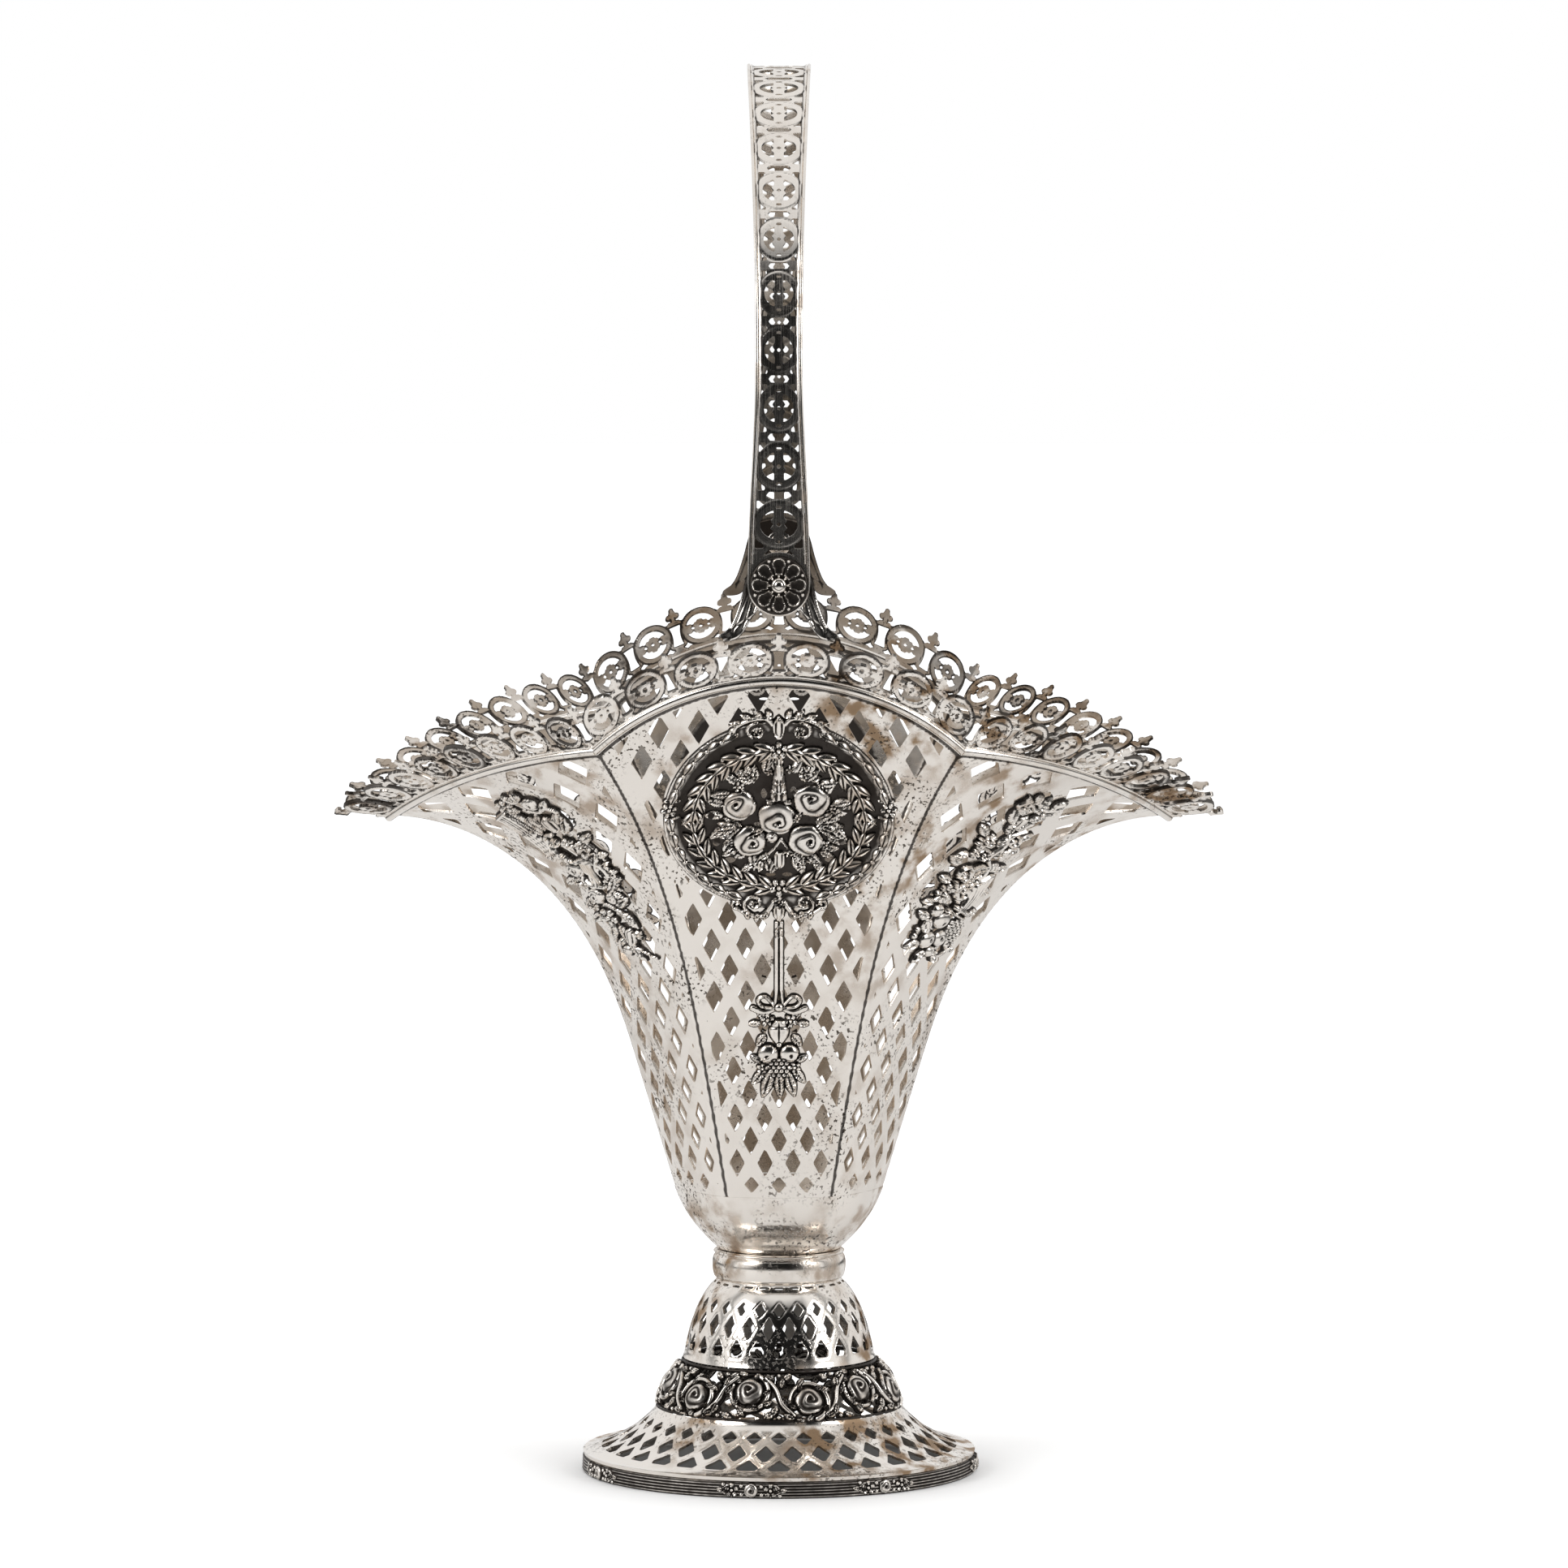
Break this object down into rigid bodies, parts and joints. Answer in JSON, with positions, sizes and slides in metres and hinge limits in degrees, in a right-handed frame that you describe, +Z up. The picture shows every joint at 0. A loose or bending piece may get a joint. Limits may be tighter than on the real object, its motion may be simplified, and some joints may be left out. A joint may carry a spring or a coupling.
{
  "type": "flower basket",
  "caption": "Pierced silver flower basket on a stepped pierced foot, with a flaring six-sided body, openwork rim and a swing handle.",
  "frame": {"origin": "on the table, under the middle of the round foot", "axes": "+Z up, -Y is the front panel, the handle arches from front to back in the YZ plane"},
  "size_m": [0.2836, 0.21, 0.4503],
  "materials": {
    "polished_silver": "polished silver with soft wear and small pits",
    "oxidised_silver": "silver relief with dark oxide in its recesses and bright worn tops"
  },
  "bodies": {
    "basket": {"border_back_a": "oxidised_silver", "border_back_b": "oxidised_silver", "border_front_a": "oxidised_silver", "border_front_b": "oxidised_silver", "border_left_back": "oxidised_silver", "border_left_front": "oxidised_silver", "border_right_back": "oxidised_silver", "border_right_front": "oxidised_silver", "bracket_back": "oxidised_silver", "bracket_front": "oxidised_silver", "cup": "polished_silver", "foot_dome": "polished_silver", "foot_rim": "oxidised_silver", "foot_rose_band": "oxidised_silver", "foot_skirt": "polished_silver", "moulding_back": "polished_silver", "moulding_front": "polished_silver", "moulding_left_back": "polished_silver", "moulding_left_front": "polished_silver", "moulding_right_back": "polished_silver", "moulding_right_front": "polished_silver", "neck_collar": "polished_silver", "panel_back": "polished_silver", "panel_front": "polished_silver", "panel_left_back": "polished_silver", "panel_left_front": "polished_silver", "panel_right_back": "polished_silver", "panel_right_front": "polished_silver", "pendant_back": "oxidised_silver", "pendant_front": "oxidised_silver", "roundel_back": "oxidised_silver", "roundel_front": "oxidised_silver", "trophy_left_back": "oxidised_silver", "trophy_left_front": "oxidised_silver", "trophy_right_back": "oxidised_silver", "trophy_right_front": "oxidised_silver", "washer_back": "polished_silver", "washer_front": "polished_silver"},
    "handle": {"handle_strip": "oxidised_silver", "handle_wire_left": "polished_silver", "handle_wire_right": "polished_silver", "pivot_pin_back": "polished_silver", "pivot_pin_front": "polished_silver", "rosette_back": "oxidised_silver", "rosette_front": "oxidised_silver"}
  },
  "joints": [
    {"name": "handle_swing", "type": "hinge", "parent": "basket", "child": "handle", "pos_m": [0, 0, 0.29138], "axis": [0, 1, 0], "range_deg": [-110, 110]}
  ]
}
